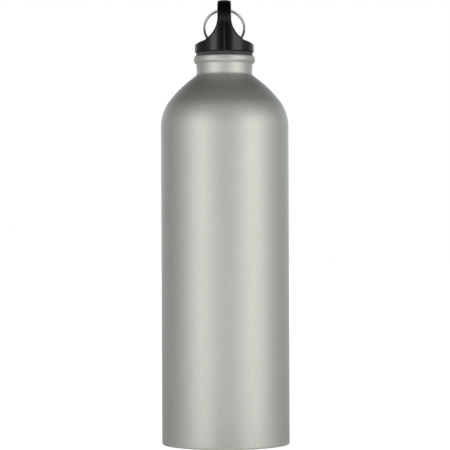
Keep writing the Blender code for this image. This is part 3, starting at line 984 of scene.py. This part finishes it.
def makeRingTree():
    # the wire's middle line: a full turn, a smooth step across, and a full turn
    tree, given, out = openTree("splitRingWire", "GeometryNodeTree", [
        ("Geometry", "NodeSocketGeometry", None),
        ("Points", "NodeSocketInt", 200),
        ("Ring Radius", "NodeSocketFloat", 0.01),
        ("Wire Width", "NodeSocketFloat", 0.001),
        ("Wire Thickness", "NodeSocketFloat", 0.001),
        ("Wire Edge", "NodeSocketFloat", 0.0002),
        ("Edge Points", "NodeSocketInt", 5),
        ("Turn Gap", "NodeSocketFloat", 0.0001),
        ("Crossover", "NodeSocketFloat", 0.5),
        ("Material", "NodeSocketMaterial", None)],
        [("Geometry", "NodeSocketGeometry")])
    line = putNode(tree, "GeometryNodeCurvePrimitiveLine").outputs[0]
    dense = feedNode(tree, "GeometryNodeResampleCurve", {"Curve": line, "Count": given["Points"]})[0]
    index = putNode(tree, "GeometryNodeInputIndex").outputs[0]
    share = sums(tree, "DIVIDE", index, sums(tree, "SUBTRACT", given["Points"], 1))
    halfCross = sums(tree, "DIVIDE", given["Crossover"], 2)
    spare = sums(tree, "SUBTRACT", 4 * math.pi, given["Crossover"])
    angle = sums(tree, "ADD", halfCross, sums(tree, "MULTIPLY", share, spare))
    fromMiddle = sums(tree, "DIVIDE", sums(tree, "SUBTRACT", angle, 2 * math.pi), halfCross)
    layer = sums(tree, "DIVIDE", sums(tree, "ADD", given["Wire Thickness"], given["Turn Gap"]), 2)
    step = remap(tree, fromMiddle, -1, 1, sums(tree, "MULTIPLY", layer, -1), layer, easing="SMOOTHSTEP")
    x, y = [sums(tree, "MULTIPLY", given["Ring Radius"], sums(tree, turned, angle))
            for turned in ("SINE", "COSINE")]
    place = feedNode(tree, "ShaderNodeCombineXYZ", {0: x, 1: y, 2: step})[0]
    coil = feedNode(tree, "GeometryNodeSetPosition", {"Geometry": dense, "Position": place})[0]
    upright = feedNode(tree, "GeometryNodeSetCurveNormal", {"Curve": coil}, mode="Z_UP")[0]
    section = feedNode(tree, "GeometryNodeCurvePrimitiveQuadrilateral",
                       {"Width": given["Wire Width"], "Height": given["Wire Thickness"]})[0]
    soft = feedNode(tree, "GeometryNodeFilletCurve", {"Curve": section, "Radius": given["Wire Edge"],
                                                      "Count": given["Edge Points"]}, mode="POLY")[0]
    sweep = feedNode(tree, "GeometryNodeCurveToMesh",
                     {"Curve": upright, "Profile Curve": soft, "Fill Caps": True})[0]
    closeTree(tree, sweep, given["Material"], out["Geometry"])
    return tree


def buildRing():
    piece = addPiece("keyRing", bpy.data.meshes.new("keyRing"))
    useTree(piece, makeRingTree(), {
        "Points": ring["points"],
        "Ring Radius": wireMiddle,
        "Wire Width": ring["wireWidth"],
        "Wire Thickness": ring["wireThickness"],
        "Wire Edge": ring["wireEdge"],
        "Edge Points": ring["edgePoints"],
        "Turn Gap": ring["turnGap"],
        "Crossover": ring["crossover"],
        "Material": ringFinish()})
    tilt = Matrix.Rotation(math.pi / 2 - ring["lean"], 4, "X")
    piece.data.transform(Matrix.Translation(ringMiddle) @ tilt)
    smoothBy(piece, 40)
    finishPiece(piece, "split_ring", "ring_steel", "split_ring")


buildRing()


# Studio: a pale floor, two upright softboxes and a white surround
studio = {
    # degrees round the bottle from the camera's side, width and power
    "leftSoftbox": (-42.0, 1.40, 12.2),
    "rightSoftbox": (53.0, 2.18, 14.3),
    "boxAway": 3.0,
    "boxHeight": 0.96,
    "floorRadius": 6.0,
    "floorSides": 96,
    "floorColour": (0.86, 0.86, 0.85, 1),
    "floorDarkColour": (0.84, 0.84, 0.83, 1),
    "floorRoughness": 0.7,
    "floorGrain": 0.004,
    "floorMottle": 0.3,
    "floorGlow": 0.11,
    "floorFrontGlow": 0.70,
    "floorShadeNearFoot": 0.58,       # share of the glow that is left close to the foot, a painted shade round the foot
    "floorShadeNearReach": 0.16,
    "floorEase": 0.03,       # softens the turn from front to back close to the axis
    "floorShown": 0.80,
    "frontLight": 1.56,
    "sideLight": 0.55,
    "backLight": 0.45,
    "rimLight": 1.70,        # a bright wall that only the outermost edges of the steel reflect
    "rimReach": (0.60, 0.95),    # how far behind the bottle that wall begins, and is full
    "rightMore": 0.10,
    "roomTint": (0.80, 0.80, 0.80, 1),
    "coolTint": (0.74, 0.79, 0.815, 1),
    "coolReach": (0.3, -0.4),    # the walls turn a little cooler from the sides to the back
    "skyLight": 0.02,
    "skyFront": 0.25,
    "wallTop": 0.44,
    "skyStart": 0.98,
    "skyBehind": 0.37,       # how much lower the dark sky reaches behind the bottle
    "cameraSide": 0.10,      # the dark side of the room, where the camera stands
    "cameraSideReach": (38, 26),     # degrees from the camera where it begins, and is full
}


def buildFloor():
    mesh = bpy.data.meshes.new("paleFloor")
    sides = studio["floorSides"]
    turns = [2 * math.pi * i / sides for i in range(sides)]
    rim = [(studio["floorRadius"] * math.cos(a), studio["floorRadius"] * math.sin(a), 0) for a in turns]
    mesh.from_pydata(rim, [], [tuple(range(sides))])
    floor = addPiece("paleFloor", mesh)
    material, tree, shader, place = startFinish("paleFloor", 0)
    # pale paper whose glow is painted light for the steel to reflect, brighter in front and dimmed by
    # painted shade close to the foot; the camera sees it nearly white
    grain = useGroup(tree, grainGroup, place, studio["floorGrain"], studio["floorMottle"])
    plug(tree, mixColour(tree, grain["Mottle"], studio["floorColour"], studio["floorDarkColour"]),
         shader.inputs["Base Color"])
    shader.inputs["Roughness"].default_value = studio["floorRoughness"]
    away = lengthOf(tree, place)
    behind = sums(tree, "DIVIDE", splitPlace(tree, place)[1],
                  sums(tree, "ADD", away, studio["floorEase"]))
    # painted light: the floor glows, more brightly in front of the bottle
    glow = remap(tree, behind, 0, -1, studio["floorGlow"], studio["floorGlow"] + studio["floorFrontGlow"])
    # painted shade: the glow is dimmed close to the foot
    near = remap(tree, away, body["radius"], studio["floorShadeNearReach"], studio["floorShadeNearFoot"], 1)
    seen = putNode(tree, "ShaderNodeLightPath").outputs["Is Camera Ray"]
    shown = remap(tree, seen, 0, 1, sums(tree, "MULTIPLY", glow, near), studio["floorShown"])
    level = feedNode(tree, "ShaderNodeCombineColor", {0: shown, 1: shown, 2: shown})[0]
    plug(tree, level, shader.inputs["Emission Color"])
    shader.inputs["Emission Strength"].default_value = 1
    mesh.materials.append(material)


def buildSoftbox(name, turn, width, power):
    angle = math.radians(turn)
    light = bpy.data.lights.new(name, "AREA")
    light.shape = "RECTANGLE"
    light.size = width
    light.size_y = studio["boxHeight"]
    light.energy = power
    lamp = bpy.data.objects.new(name, light)
    lamp.location = (studio["boxAway"] * math.sin(angle), -studio["boxAway"] * math.cos(angle),
                     studio["boxHeight"] / 2)
    lamp.rotation_euler = (math.pi / 2, 0, angle)
    lamp.visible_camera = False
    bpy.context.scene.collection.objects.link(lamp)


def buildSurround():
    # white to the camera, and to the steel a room that is brightest in front and dim overhead
    world = bpy.data.worlds.new("surround")
    world.use_nodes = True
    tree = world.node_tree
    tree.nodes.clear()
    right, behind, above = splitPlace(tree, putNode(tree, "ShaderNodeTexCoord").outputs["Generated"])
    ahead = sums(tree, "MULTIPLY", behind, -1)
    wall = remap(tree, ahead, 0, 1, studio["sideLight"], studio["frontLight"], easing="SMOOTHSTEP")
    less = remap(tree, behind, 0, 1, 0, studio["backLight"] - studio["sideLight"], easing="SMOOTHSTEP")
    rim = remap(tree, behind, *studio["rimReach"], 0, studio["rimLight"], easing="SMOOTHSTEP")
    more = sums(tree, "MULTIPLY", right, studio["rightMore"])
    wall = sums(tree, "ADD", sums(tree, "ADD", wall, less), sums(tree, "ADD", rim, more))
    sky = remap(tree, ahead, 0, 1, studio["skyLight"], studio["skyFront"])
    lower = sums(tree, "MULTIPLY", sums(tree, "MAXIMUM", behind, 0), studio["skyBehind"])
    level = remap(tree, sums(tree, "ADD", above, lower), studio["wallTop"], studio["skyStart"],
                  wall, sky, easing="SMOOTHSTEP")
    outer, inner = [math.cos(math.radians(side)) for side in studio["cameraSideReach"]]
    level = remap(tree, ahead, outer, inner, level, studio["cameraSide"], easing="SMOOTHSTEP")
    cooler = remap(tree, ahead, *studio["coolReach"], 0, 1)
    tint = mixColour(tree, cooler, studio["roomTint"], studio["coolTint"])
    room = feedNode(tree, "ShaderNodeBackground", {"Color": tint, "Strength": level})[0]
    white = feedNode(tree, "ShaderNodeBackground", {"Color": (1, 1, 1, 1)})[0]
    seen = putNode(tree, "ShaderNodeLightPath").outputs["Is Camera Ray"]
    shown = feedNode(tree, "ShaderNodeMixShader", {0: seen, 1: room, 2: white})[0]
    feedNode(tree, "ShaderNodeOutputWorld", {"Surface": shown})
    bpy.context.scene.world = world


# Camera: level, and far enough away for the photograph's flat perspective
camera = {
    "away": 1.39,
    "height": 0.13745,
    "lens": 177.2,
    "sensor": 36,
    "roll": math.radians(-0.24),
    "sideways": -0.00006,
    "clipEnd": 50,
}


def buildCamera():
    data = bpy.data.cameras.new("studioCamera")
    data.lens = camera["lens"]
    data.sensor_width = camera["sensor"]
    data.clip_end = camera["clipEnd"]
    holder = bpy.data.objects.new("studioCamera", data)
    holder.matrix_world = (Matrix.Translation((camera["sideways"], -camera["away"], camera["height"]))
                           @ Matrix.Rotation(math.pi / 2, 4, "X")
                           @ Matrix.Rotation(camera["roll"], 4, "Z"))
    bpy.context.scene.collection.objects.link(holder)
    bpy.context.scene.camera = holder


buildFloor()
for box in ("leftSoftbox", "rightSoftbox"):
    buildSoftbox(box, *studio[box])
buildSurround()
buildCamera()
bpy.context.scene.view_settings.view_transform = "Standard"
print("studio ready")
